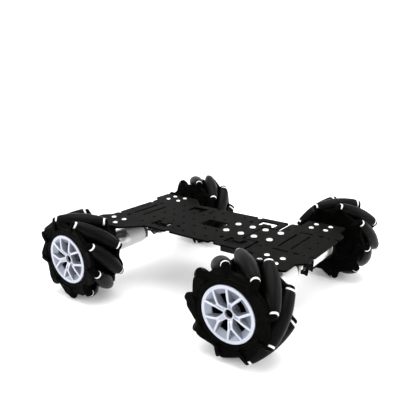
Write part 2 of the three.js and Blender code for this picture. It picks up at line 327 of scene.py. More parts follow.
def rounded(profile, r, n=3, closed=False):
    """The profile with its corners rounded; r is one radius or one for each point."""
    p = [np.array(q, float) for q in profile]
    rs = [r] * len(p) if np.isscalar(r) else list(r)
    out = []
    for i, b in enumerate(p):
        if not closed and i in (0, len(p) - 1) or rs[i] < 1e-3:
            out.append(b)
            continue
        a, c = p[i - 1], p[(i + 1) % len(p)]
        u, v = unit(a - b), unit(c - b)
        ang = math.acos(max(-1, min(1, float(u @ v))))
        if ang > math.radians(172):
            out.append(b)
            continue
        cut = min(rs[i] / math.tan(ang / 2), 0.48 * np.linalg.norm(a - b), 0.48 * np.linalg.norm(c - b))
        rad = cut * math.tan(ang / 2)
        centre = b + unit(u + v) * (rad / math.sin(ang / 2))
        s, e = b + u * cut - centre, b + v * cut - centre
        a0, a1 = math.atan2(s[1], s[0]), math.atan2(e[1], e[0])
        d = (a1 - a0 + math.pi) % (2 * math.pi) - math.pi
        out += [centre + rad * np.array([math.cos(a0 + d * k / n), math.sin(a0 + d * k / n)]) for k in range(n + 1)]
    return [tuple(q) for q in out]


def levels(outer, holes, steps, zfun=None, side_mat=0):
    """A solid of outlines: steps are (z, outwards offset) from bottom to top. Its holes' walls shrink the hole where the outline grows."""
    outer = ccw(outer)
    holes = [ccw(h) for h in holes]
    verts, faces, mats = [], [], []
    loops = [(outer, 1.0)] + [(h, -1.0) for h in holes]
    ids = []
    for loop, sign in loops:
        mine = []
        for z, d in steps:
            pts = offset_poly(loop, sign * d) if abs(d) > 1e-9 else np.asarray(loop)
            mine.append(list(range(len(verts), len(verts) + len(pts))))
            verts += [(x, y, z) for x, y in pts]
        ids.append(mine)
        n = len(loop)
        for k, (lo, hi) in enumerate(zip(mine, mine[1:])):
            for i in range(n):
                j = (i + 1) % n
                faces.append((lo[i], lo[j], hi[j], hi[i]) if sign > 0 else (lo[j], lo[i], hi[i], hi[j]))
                mats.append(side_mat)
    for which in (0, -1):
        flat = [i for mine in ids for i in mine[which]]
        tri = tessellate_polygon([[Vector((verts[i][0], verts[i][1], 0)) for i in mine[which]] for mine in ids])
        for t in tri:
            a, b, c = (flat[i] for i in t)
            if len({a, b, c}) < 3:
                continue
            up = (verts[b][0] - verts[a][0]) * (verts[c][1] - verts[a][1]) - (verts[b][1] - verts[a][1]) * (verts[c][0] - verts[a][0])
            if abs(up) < 1e-9:
                continue
            if (up > 0) != (which == -1):
                a, b, c = a, c, b
            faces.append((a, b, c))
            mats.append(0)
    if zfun:
        verts = [(x, y, zfun(x, y, z)) for x, y, z in verts]
    return verts, faces, mats


def plate(outer, holes, z0, z1, chamfer=0.25):
    return levels(outer, holes, [(z0, -chamfer), (z0 + chamfer, 0), (z1 - chamfer, 0), (z1, -chamfer)], side_mat=1)


def box(x0, y0, z0, x1, y1, z1, c=0.3):
    return levels([(x0, y0), (x1, y0), (x1, y1), (x0, y1)], [], [(z0, -c), (z0 + c, 0), (z1 - c, 0), (z1, -c)])


def boolean(a, b, op):
    """a and b are meshes in metres; gives the mesh of a op b. A small mesh is worked on in millimetres."""
    for me in (a, b):
        me.transform(Matrix.Scale(1000, 4))
    oa, ob = place(a, "bool_a"), place(b, "bool_b")
    m = oa.modifiers.new("b", "BOOLEAN")
    m.object, m.operation = ob, op
    try:
        m.solver = "MANIFOLD"
    except TypeError:
        m.solver = "EXACT"
    bpy.context.view_layer.update()
    out = bpy.data.meshes.new_from_object(oa.evaluated_get(bpy.context.evaluated_depsgraph_get()))
    if not len(out.polygons):
        m.solver = "EXACT"
        bpy.context.view_layer.update()
        out = bpy.data.meshes.new_from_object(oa.evaluated_get(bpy.context.evaluated_depsgraph_get()))
    for o in (oa, ob):
        bpy.data.objects.remove(o)
    for me in (a, b, out):
        me.transform(Matrix.Scale(0.001, 4))
    return out


def basis(x, y, z, o=(0, 0, 0)):
    return Matrix(((x[0], y[0], z[0], o[0]), (x[1], y[1], z[1], o[1]), (x[2], y[2], z[2], o[2]), (0, 0, 0, 1)))


def metres(m):
    m = m.copy()
    m.translation = m.translation * MM
    return m


def tube(points, r, seg=10):
    """A closed tube through points, with round ends."""
    p = [np.array(q, float) for q in points]
    verts, rows = [], []
    up = np.array([0.13, 0.2, 0.97])
    for i, q in enumerate(p):
        t = unit(p[min(i + 1, len(p) - 1)] - p[max(i - 1, 0)])
        a = unit(np.cross(t, up))
        b = np.cross(t, a)
        scale = [1.0]
        if i == 0:
            scale = [(-0.9, 0.45), (-0.45, 0.85), (0, 1.0)]
        elif i == len(p) - 1:
            scale = [(0, 1.0), (0.45, 0.85), (0.9, 0.45)]
        else:
            scale = [(0, 1.0)]
        for along, s in scale:
            rows.append(list(range(len(verts), len(verts) + seg)))
            for k in range(seg):
                w = 2 * math.pi * k / seg
                verts.append(tuple(q + t * along * r + (a * math.cos(w) + b * math.sin(w)) * r * s))
    faces = []
    for a, b in zip(rows, rows[1:]):
        for i in range(seg):
            j = (i + 1) % seg
            faces.append((a[i], a[j], b[j], b[i]))
    faces.append(tuple(rows[0][::-1]))
    faces.append(tuple(rows[-1]))
    return verts, faces


def smooth_path(points, n=6):
    """A Catmull-Rom curve through the points."""
    p = [np.array(q, float) for q in points]
    p = [2 * p[0] - p[1]] + p + [2 * p[-1] - p[-2]]
    out = []
    for i in range(1, len(p) - 2):
        for k in range(n):
            t = k / n
            a, b, c, d = p[i - 1], p[i], p[i + 1], p[i + 2]
            out.append(0.5 * ((2 * b) + (c - a) * t + (2 * a - 5 * b + 4 * c - d) * t * t + (3 * b - a - 3 * c + d) * t ** 3))
    out.append(p[-2])
    return out


def ride(o, body, nodes=()):
    if not o.parent:
        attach(o, body)
    if nodes:
        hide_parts(*nodes)
    return o


# ------------------------------------------------------------------ deck plates
def flip(p, s):
    return np.asarray(p, float) * np.array([1, s])


def mirrored(half):
    h = list(half)
    return [tuple(q) for q in h] + [(x, -y) for x, y in reversed(h)]


REAR_HALF = [
    (-127.6, 27.6), (-123.6, 27.6), (-123.6, 31.6), (-127.6, 31.6), (-127.6, 41), (-136, 49.4), (-136, 71.2), (-133.5, 73.7),
    (-83.5, 73.7), (-61.5, 51.7), (-32.6, 51.7), (-32.6, 46.7), (-27.2, 46.7), (-27.2, 51.7), (28, 51.7), (28, 46.7), (33.4, 46.7), (33.4, 51.7),
    (67.4, 51.7), (69.4, 49.7), (69.4, 23), (51.5, 23),
]
FRONT_HALF = [
    (53, 19.6), (55, 21.6), (72.7, 21.6), (72.7, 49.7), (74.7, 51.7), (84, 51.7), (84, 71.2), (86.5, 73.7), (127.2, 73.7), (129.7, 71.2),
    (129.7, 54), (138.3, 45.4), (138.3, 31.2), (133.6, 31.2), (133.6, 28.8), (138.3, 28.8),
]
both = (1, -1)


def u_slot(x0, x1, t0, t1):
    return fillet([(x0, 27), (t0, 27), (t0, 33.4), (t1, 33.4), (t1, 27), (x1, 27), (x1, 41.8), (x0, 41.8)], 0.8, 3)


GRID = [-78, -62.4, -46.8, -31.2, -15.6, 0, 15.6]
BRACKET_SCREWS = [(sx * 8.6, sy * 7.13) for sx in both for sy in both]
REAR_BLOCK = [(24.1, 12.5), (43.3, 12.5), (24.1, -12.5), (43.3, -12.5)]
FRONT_BLOCK = [(60.0, 12.5), (79.1, 12.5), (60.0, -12.5), (79.1, -12.5)]

rear_holes = [slot_loop(-108.7, -21.5, -108.7, 21.5, 3), slot_loop(-93.7, -21.5, -93.7, 21.5, 2.6), fillet([(-15, -10), (13.5, -10), (13.5, 10), (-15, 10)], 1.0, 4)]
for s in both:
    rear_holes += [circle(-109.5, 30 * s, 2.5), circle(-29.9, 30.8 * s, 2.3), circle(30.7, 30.8 * s, 2.3)]
    rear_holes += [ccw(flip(u_slot(40, 61.4, 45.2, 56.5), s)), ccw(flip(u_slot(-62.5, -40.9, -57.3, -46.1), s))]
    rear_holes += [circle(-124.4, y * s, 1.3, 18) for y in (9.7, 18.3, 39)]
    rear_holes += [circle(x, 19.2 * s, 1.5, 20) for x in GRID]
    rear_holes += [circle(x, 39.5 * s, 1.5, 20) for x in (-78, -31.2, -15.6, 0, 15.6)]
rear_holes += [circle(x, 0, 1.5, 20) for x in (-78, -62.4, -46.8, -31.2)]
front_holes = [slot_loop(94.2, -21.8, 94.2, 21.8, 2.4), slot_loop(109, -21.8, 109, 21.8, 2.2)]
for s in both:
    front_holes += [slot_loop(92.4, 29.9 * s, 110, 29.9 * s, 2.4), slot_loop(115.8, 29.9 * s, 121.8, 29.9 * s, 3)]
    front_holes += [circle(127.2, 29.9 * s, 1.2, 16), circle(124, 9.7 * s, 1.5, 20), circle(79.1, 30 * s, 1.5, 20)]

rear_plate = Build().add(plate(fillet(mirrored(REAR_HALF), 1.6, 4), rear_holes, DECK_LOW, DECK_TOP, 0.28)).obj("rear_deck", [M_DECK, M_DECK_EDGE], 30)
ride(rear_plate, "rear_frame", ["rear_deck_plate"])
front_plate = Build().add(plate(fillet(mirrored(FRONT_HALF), 1.4, 4), front_holes, DECK_LOW, DECK_TOP, 0.12)).obj("front_deck", [M_DECK, M_DECK_EDGE], 30)
ride(front_plate, "front_frame", ["front_deck_plate"])


# ------------------------------------------------------------------ screws and nuts
def pan_head(r, h, name):
    """A domed pan head with a cross recess, its seat at z = 0."""
    n = 8
    prof = [(0, 0), (r * 0.97, 0), (r, 0.12 * h), (r, 0.34 * h)]
    prof += [(r * math.cos(math.radians(90 * k / n)) * 0.995, 0.34 * h + 0.66 * h * math.sin(math.radians(90 * k / n))) for k in range(1, n)]
    prof += [(0, h)]
    head = Build().add(lathe(rounded(prof, 0.0), 36)).mesh(name, [M_SCREW], 40)
    w, l = r * 0.13, r * 0.56
    cross = Build()
    cross.add(levels([(-l, -w), (l, -w), (l, w), (-l, w)], [], [(h * 0.45, -0.1 * r), (h * 1.4, 0.02 * r)]))
    a = cross.mesh("cross_a", [M_SCREW])
    cross = Build()
    cross.add(levels([(-w, -l), (w, -l), (w, l), (-w, l)], [], [(h * 0.45, -0.1 * r), (h * 1.4, 0.02 * r)]))
    b = cross.mesh("cross_b", [M_SCREW])
    out = boolean(boolean(head, a, "DIFFERENCE"), b, "DIFFERENCE")
    return mesh_parts(out)


def mesh_parts(me):
    """A mesh in metres as (verts in mm, faces), to add to a Build."""
    co = np.array([v.co for v in me.vertices], float) * 1000
    return co, [tuple(p.vertices) for p in me.polygons]


def hex_nut(af, h, bore):
    """A nut with its faces bevelled at the corners, from z = 0 to h."""
    R = af / math.sqrt(3)
    outer = [(R * math.cos(math.radians(60 * i)), R * math.sin(math.radians(60 * i))) for i in range(6)]
    return levels(fillet(outer, 0.3, 2), [circle(0, 0, bore, 16)], [(0, -0.25), (0.25, 0), (h - 0.25, 0), (h, -0.25)])


HEAD3 = pan_head(2.95, 1.95, "head3")
HEAD4 = pan_head(3.75, 2.35, "head4")
HEAD2 = pan_head(1.5, 0.9, "head2")
SHANK3 = lathe([(0, -6.6), (1.25, -6.6), (1.5, -6.3), (1.5, 0.4), (0, 0.4)], 16)
SHANK4 = lathe([(0, -14), (1.7, -14), (2.0, -13.6), (2.0, 0.4), (0, 0.4)], 16)
NUT3 = hex_nut(5.5, 2.4, 1.45)
WASHER3 = levels(circle(0, 0, 3.4, 28), [circle(0, 0, 1.6, 20)], [(0, -0.1), (0.12, 0), (0.42, 0), (0.5, -0.1)])
for which, body in ((-1, "rear_frame"), (1, "front_frame")):
    b = Build()
    for s in both:
        for dx, dy in BRACKET_SCREWS:
            x, y = which * 106.3 + dx, s * 57.4 + dy
            turn = Matrix.Rotation(math.radians((x * 37 + y * 53) % 90), 4, "Z")
            b.add(HEAD3, 0, Matrix.Translation((x, y, DECK_TOP - 0.02)) @ turn)
            b.add(SHANK3, 0, Matrix.Translation((x, y, DECK_TOP)))
            b.add(NUT3, 0, Matrix.Translation((x, y, 70.4 + DROP - 2.42)) @ turn)
    for x, y in (REAR_BLOCK if which < 0 else FRONT_BLOCK):
        turn = Matrix.Rotation(math.radians((x * 31 + y * 17) % 90), 4, "Z")
        b.add(HEAD4, 0, Matrix.Translation((x, y, DECK_TOP - 0.02)) @ turn)
        b.add(SHANK4, 0, Matrix.Translation((x, y, DECK_TOP)))
    o = b.obj(("rear" if which < 0 else "front") + "_deck_screws", [M_SCREW], 40)
    ride(o, body)


# ------------------------------------------------------------------ motor brackets, for the +Y side at x = 0
def bracket_mesh():
    Z0 = DROP
    flange = Build().add(plate(fillet([(-14, 46.2), (14, 46.2), (14, 68.6), (-14, 68.6)], [1.6, 1.6, 0, 0], 4), [circle(-0.0 + dx, 57.4 + dy, 1.65, 20) for dx, dy in BRACKET_SCREWS], 70.4 + Z0, 72.4 + Z0, 0.2)).mesh("flange", [M_BRACKET, M_BRACKET])
    up = basis((1, 0, 0), (0, 0, 1), (0, -1, 0))
    face = fillet([(-14, 69.6), (-14, 44), (-8, 34.6), (8, 34.6), (14, 44), (14, 69.6)], [0, 2.5, 3, 3, 2.5, 0], 4)
    holes = [circle(0, 48.5, 3.9, 32)] + [circle(8.5 * sx, 48.5, 1.6, 20) for sx in both] + [slot_loop(-4.2, 62.4, 4.2, 62.4, 3.2)]
    f = Build().add(plate(face, holes, -71.5, -69.5, 0.2), 0, Matrix.Translation((0, 0, Z0)) @ up).mesh("face", [M_BRACKET, M_BRACKET])
    # the bend between them: a quarter ring, 2.8 mm outside radius
    R, r, n = 2.8, 0.8, 8
    cy, cz = 71.5 - R, 72.4 - R
    pts = [(cy + R * math.cos(math.radians(90 * k / n)), cz + R * math.sin(math.radians(90 * k / n))) for k in range(n + 1)]
    pts = [(71.5, cz - 0.5)] + pts + [(cy - 0.5, 72.4), (cy - 0.5, 70.4)]
    pts += [(cy + r * math.cos(math.radians(90 - 90 * k / n)), cz + r * math.sin(math.radians(90 - 90 * k / n))) for k in range(n + 1)] + [(69.5, cz - 0.5)]
    pts = [(y, z + Z0) for y, z in pts]
    along = basis((0, 1, 0), (0, 0, 1), (1, 0, 0))
    bend = Build().add(levels(pts, [], [(-14, 0), (14, 0)]), 0, along).mesh("bend", [M_BRACKET, M_BRACKET])
    out = boolean(boolean(flange, f, "UNION"), bend, "UNION")
    tidy(out, 30)
    return out


BRACKET = bracket_mesh()


# ------------------------------------------------------------------ gearmotor: z = 0 at the gearbox face, negative towards the middle of the chassis
def gearmotor_mesh():
    b = Build()
    # gearbox: front plate, drum, back plate, boss, front screws
    b.add(lathe(rounded([(0, 0), (12.45, 0), (12.45, -2.5), (12.1, -2.75), (12.45, -3.0), (12.45, -19.8), (12.1, -20.05), (12.45, -20.3), (12.45, -23.0), (0, -23.0)], 0.22, 2), 96), 1)
    b.add(lathe(rounded([(0, -0.2), (3.5, -0.2), (3.5, 2.4), (2.6, 2.5), (0, 2.5)], 0.25, 2), 40), 1)
    for k in range(3):
        a = math.radians(90 + 120 * k)
        b.add(HEAD2, 1, Matrix.Translation((9.6 * math.cos(a), 9.6 * math.sin(a), -0.05)))
    # steel can with a rolled end and a seam
    b.add(lathe(rounded([(0, -22.9), (11.9, -22.9), (12.1, -23.5), (12.1, -48.6), (11.6, -50.3), (0, -50.3)], 0.5, 4), 96), 0)
    for k in range(2):
        a = math.radians(90 + 180 * k)
        seam = box(-0.9, -0.35, -47.5, 0.9, 0.12, -44.2, 0.1)
        b.add(seam, 3, Matrix.Rotation(a - math.pi / 2, 4, "Z") @ Matrix.Translation((0, 12.1, 0)))
    # plastic end cap, magnet ring, encoder board
    b.add(lathe(rounded([(0, -50.2), (10.8, -50.2), (10.8, -53.6), (10.2, -54.2), (0, -54.2)], 0.3, 3), 72), 2)
    b.add(lathe([(0, -54.1), (3.2, -54.1), (3.2, -56.9), (0, -56.9)], 32), 0)
    b.add(levels(circle(0, 0, 9.6, 56), [], [(-56.9, -0.15), (-56.75, 0), (-55.45, 0), (-55.3, -0.15)]), 3)
    # chips and pads on the board
    for x, y, w, h, t in ((-4.2, 2.6, 3.2, 2.6, 0.9), (4.4, 2.4, 3.2, 2.6, 0.9), (-4.6, -3.0, 1.6, 0.9, 0.5), (-1.9, 5.6, 1.6, 0.9, 0.5), (2.2, 5.8, 1.6, 0.9, 0.5)):
        b.add(box(x - w / 2, y - h / 2, -56.9 - t, x + w / 2, y + h / 2, -56.8, 0.12), 3)
    # connector base along the board's lower edge, with solder points above it
    b.add(box(-6.6, -7.4, -59.6, 6.6, -3.6, -56.85, 0.3), 3)
    for k in range(6):
        b.add(lathe([(0, -56.9), (0.75, -56.9), (0.35, -57.5), (0, -57.6)], 12), 0, Matrix.Translation((-6.25 + 2.5 * k, -1.4, 0)))
    # motor terminals
    for s in both:
        b.add(box(s * 6.6 - 0.9, 5.9, -56.0, s * 6.6 + 0.9, 6.5, -54.0, 0.08), 0)
    return b.mesh("gearmotor", [M_CAN, M_GEARBOX, M_RING, M_BOARD, M_NYLON], 32)


GEARMOTOR = gearmotor_mesh()


# ------------------------------------------------------------------ swing joint
def swing():
    along = basis((0, 1, 0), (0, 0, 1), (1, 0, 0))
    z = DROP
    c = 0.5
    hole = circle(0, SWING_Z, 4.35, 40)
    outline = fillet([(-17, 50.4 + z), (17, 50.4 + z), (17, 72.4 + z), (-17, 72.4 + z)], 1.0, 3)
    b = Build().add(levels(outline, [hole, circle(-12.5, 54.6 + z, 1.6, 18), circle(12.5, 54.6 + z, 1.6, 18)], [(18.7, -c), (18.7 + c, 0), (48.7 - c, 0), (48.7, -c)]), 0, along)
    # bearing bush shown as a ring at each end of the bore
    for x0, x1 in ((18.2, 20.5), (46.9, 49.2)):
        b.add(levels(circle(0, SWING_Z, 6.6, 40), [circle(0, SWING_Z, 4.3, 40)], [(x0, -0.2), (x0 + 0.2, 0), (x1 - 0.2, 0), (x1, -0.2)]), 1, along)
    o = b.obj("bearing_block", [M_BLOCK, M_RING], 32)
    ride(soften(o), "rear_frame", ["rear_bearing_block"])
    outline = fillet([(-17, 53.4 + z), (-14, 50.4 + z), (14, 50.4 + z), (17, 53.4 + z), (17, 72.4 + z), (-17, 72.4 + z)], 0.8, 3)
    b = Build().add(levels(outline, [circle(-12.5, 66.0 + z, 1.6, 18), circle(12.5, 66.0 + z, 1.6, 18)], [(55.5, -c), (55.5 + c, 0), (83.5 - c, 0), (83.5, -c)]), 0, along)
    b.add(lathe(rounded([(0, 9), (4, 9), (4, 60), (0, 60)], 0.4, 3), 48), 1, Matrix.Translation((0, 0, SWING_Z)) @ basis((0, 1, 0), (0, 0, 1), (1, 0, 0)))
    b.add(levels(circle(0, 0, 7.5, 48), [], [(11, -0.5), (11.5, 0), (16.9, 0), (17.4, -0.5)]), 1, Matrix.Translation((0, 0, SWING_Z)) @ along)
    b.add(lathe(rounded([(0, -0.6), (1.5, -0.6), (1.5, 0.35), (0.8, 0.35), (0.8, -0.4), (0, -0.4)], 0.05, 1), 20), 2, Matrix.Translation((14.2, 0, SWING_Z - 7.4)) @ Matrix.Rotation(math.pi, 4, "X"))
    o = b.obj("swing_block", [M_BLOCK, M_STEEL, M_SCREW], 32)
    ride(soften(o), "front_frame", ["swing_shaft_block"])


swing()


# ------------------------------------------------------------------ wheel pieces, about +Z with +Z outboard, 0 at the middle plane, first roller at the top
def profile_r(t):
    return WHEEL_R - math.hypot(ROLLER_D, t * ST) + 0.45 * (t / 24.0) ** 2


def roller_frame(hand, k):
    a = math.radians(40 * k)
    er, et = np.array([math.sin(a), math.cos(a), 0]), np.array([math.cos(a), -math.sin(a), 0])
    u = hand * ST * et + np.array([0, 0, CT])
    w = np.cross(er, u)
    return er, u, w, basis(w, er, u, er * ROLLER_D)


RUBBER_END = 24.4
DISC_END = 26.2
LUG = 26.35


def roller_mesh():
    n = 22
    ts = [-RUBBER_END + 2 * RUBBER_END * i / n for i in range(n + 1)]
    prof = [(profile_r(t), t) for t in ts]
    end = prof[0][0]
    prof = [(2.3, -RUBBER_END), (end - 0.9, -RUBBER_END)] + [(end - 0.9 + 0.9 * math.sin(q), -RUBBER_END + 0.9 - 0.9 * math.cos(q)) for q in (0.5, 1.0)] + prof[1:-1]
    prof += [(end - 0.9 + 0.9 * math.sin(q), RUBBER_END - 0.9 + 0.9 * math.cos(q)) for q in (1.0, 0.5)] + [(end - 0.9, RUBBER_END), (2.3, RUBBER_END)]
    b = Build().add(lathe(prof, 48, closed=True), 0)
    # the core's end discs, which stand proud of the rubber at both ends
    for s in both:
        p = rounded([(2.1, s * 23.9), (4.1, s * 23.9), (4.2, s * 24.2), (4.2, s * DISC_END), (2.1, s * DISC_END)], [0, 0, 0.1, 0.3, 0], 2)
        b.add(lathe(p, 40, closed=True), 1)
    return b.mesh("roller", [M_RUBBER, M_DISC], 40)


ROLLER = roller_mesh()


def lug_part(hand, k, s):
    er, u, w, m = roller_frame(hand, k)
    c = er * ROLLER_D + u * s * LUG
    out = unit(np.array([c[0], c[1], 0]))
    n = u * s
    v = unit(out - n * (out @ n))
    q = np.cross(v, n)
    # the finger is broader on the side that rises away from the wheel
    wide = [(9.6, -12.0), (8.9, -8.0), (7.6, -5.2), (5.8, -3.2), (4.5, -1.2), (3.9, 0.8), (2.7, 2.4), (1.2, 3.2)]
    slim = [(-0.6, 3.3), (-2.2, 2.9), (-3.4, 1.8), (-4.0, 0.0), (-4.7, -3.2), (-6.5, -12.0)]
    pts = ccw([(-hand * x, y) for x, y in wide + slim])
    return levels(pts, [], [(0, 0), (1.2, 0), (2.0, -0.3), (2.6, -0.8), (3.0, -1.5)]), basis(q, v, n, c)


def saw(hand):
    """The outline of the dish: it climbs gently to each finger from behind, and falls away steeply in front of it."""
    lead = math.degrees(math.atan2(LUG * ST, ROLLER_D))
    out = []
    for k in range(ROLLERS):
        for off, r in ((-29.5, 38.8), (-24, 40.0), (-18, 41.2), (-12, 42.6), (-8, 43.3), (-4, 43.0), (1.5, 40.6), (6, 39.0)):
            q = math.radians(40 * k + lead + off)
            out.append((hand * r * math.sin(q), r * math.cos(q)))
    return ccw(out)


def saw_rise(hand, x, y):
    """How far the dish's edge stands up at (x, y): most just behind each finger."""
    lead = math.degrees(math.atan2(LUG * ST, ROLLER_D))
    off = (math.degrees(math.atan2(hand * x, y)) - lead + 30) % 40 - 30
    return 1.6 * max(0.0, min(1.0, (off + 21) / 12, (7 - off) / 7)) * max(0.0, min(1.0, (math.hypot(x, y) - 33) / 5))


def space_mesh(hand):
    b = None
    for k in range(ROLLERS):
        n = 8
        e = LUG - 0.03
        g = RUBBER_END + 0.5
        prof = [(0, -e), (4.8, -e), (4.8, -g)] + [(profile_r(-g + 2 * g * i / n) + 0.8, -g + 2 * g * i / n) for i in range(n + 1)] + [(4.8, g), (4.8, e), (0, e)]
        me = Build().add(lathe(prof, 40), 0, roller_frame(hand, k)[3]).mesh("space", [M_FLANGE])
        b = me if b is None else boolean(b, me, "UNION")
    return b


def slab_box(z0, z1):
    return Build().add(levels([(-70, -70), (70, -70), (70, 70), (-70, 70)], [], [(z0, 0), (z1, 0)])).mesh("slab", [M_FLANGE])


SPACE = {h: space_mesh(h) for h in both}


def flange_mesh(hand, outer):
    s = 1 if outer else -1
    if outer:
        prof = rounded([(25.4, .2), (28.4, .2), (28.4, 11.4), (36, 13.4), (39.5, 15.6), (39.5, 19.4), (36, 20.3), (31.0, 20.3), (27.75, 20.3), (27.75, 10.8), (25.4, 10.8)], [0.2, 0.3, 1.2, 1, 0.5, 0.9, 2.0, 2.0, 0.35, 0, 0], 3, closed=True)
    else:
        prof = rounded([(8.5, -15.2), (26.5, -15.2), (31.0, -20.3), (36, -20.3), (39.5, -19.4), (39.5, -15.6), (36, -13.4), (28.4, -11.4), (28.4, -.2), (25.4, -.2), (25.4, -12.6), (8.5, -12.6)], [0.2, 0.8, 0.8, 2.0, 0.9, 0.3, 1.0, 1.2, 0.3, 0.2, 0.8, 0], 3, closed=True)
    me = Build().add(lathe(prof, 108, closed=True)).mesh("dish", [M_FLANGE])
    steps = [(16.5, 0), (20.4, 0), (20.8, -0.4)] if s > 0 else [(-20.8, -0.4), (-20.4, 0), (-16.5, 0)]
    me = boolean(me, Build().add(levels(saw(hand), [circle(0, 0, 34, 96)], steps, lambda x, y, z: z + s * saw_rise(hand, x, y) if abs(z) > 20 else z)).mesh("saw", [M_FLANGE]), "UNION")
    for k in range(ROLLERS):
        part, m = lug_part(hand, k, s)
        me = boolean(me, Build().add(part, 0, m).mesh("lug", [M_FLANGE]), "UNION")
    if not outer:
        for k in range(6):  # stiffening ribs on the inboard web
            rib = box(-0.9, 8.2, -17.4, 0.9, 27.6, -15.0, 0.25)
            me = boolean(me, Build().add(rib, 0, Matrix.Rotation(math.radians(60 * k), 4, "Z")).mesh("rib", [M_FLANGE]), "UNION")
        for k in range(6):
            hole = Build().add(lathe([(0, -30), (1.7, -30), (1.7, -5), (0, -5)], 24), 0, Matrix.Rotation(math.radians(30 + 60 * k), 4, "Z") @ Matrix.Translation((0, 17.5, 0))).mesh("hole", [M_FLANGE])
            me = boolean(me, hole, "DIFFERENCE")
    if outer:
        seat = Build().add(lathe([(0, 10.8), (27.75, 10.8), (27.75, 40), (0, 40)], 108)).mesh("seat", [M_FLANGE])
        me = boolean(me, seat, "DIFFERENCE")
    me = boolean(me, SPACE[hand].copy(), "DIFFERENCE")
    me = boolean(me, slab_box(23.4, 44) if outer else slab_box(-44, -23.4), "DIFFERENCE")
    for k in range(ROLLERS):  # bolt holes through the lugs
        er, u, w, m = roller_frame(hand, k)
        hole = Build().add(lathe([(0, 25), (1.3, 25), (1.3, 28.4), (0, 28.4)] if outer else [(0, -28.4), (1.3, -28.4), (1.3, -25), (0, -25)], 20), 0, m).mesh("bolt_hole", [M_FLANGE])
        me = boolean(me, hole, "DIFFERENCE")
    me.materials.clear()
    me.materials.append(M_FLANGE)
    me.polygons.foreach_set("material_index", np.zeros(len(me.polygons), np.int32))
    tidy(me, 28)
    me.name = ("outer" if outer else "inner") + "_flange"
    return me


FLANGE = {(h, o): flange_mesh(h, o) for h in both for o in (True, False)}


def pins_mesh(hand):
    """Roller pins: pressed through both lugs, with their ends just inside the lugs' faces."""
    b = Build()
    for k in range(ROLLERS):
        b.add(lathe([(0, -28.2), (1.0, -28.2), (1.27, -27.9), (1.27, 27.9), (1.0, 28.2), (0, 28.2)], 20), 0, roller_frame(hand, k)[3])
    return b.mesh("pins", [M_PIN], 36)


PINS = {h: pins_mesh(h) for h in both}


RIM_Z = 21.0


def swell(x, y):
    """How far the spider's upper side stands above its level at the boss, at (x, y)."""
    return float(np.interp(math.hypot(x, y), [5.0, 6.5, 8.5, 10.5, 12.5, 15.0, 19.0, 23.0, 24.5], [0.5, 1.2, 2.6, 3.6, 4.1, 4.2, 3.9, 3.3, 3.0]))


def hub_tops(part, h):
    """The part with its lower side faces in the darker hub copy, as painted shade, and its upper faces in the bright
    hub material.
    """
    verts, faces, mats = part
    return verts, faces, [0 if min(verts[i][2] - swell(verts[i][0], verts[i][1]) for i in f) > h else 2 for f in faces]


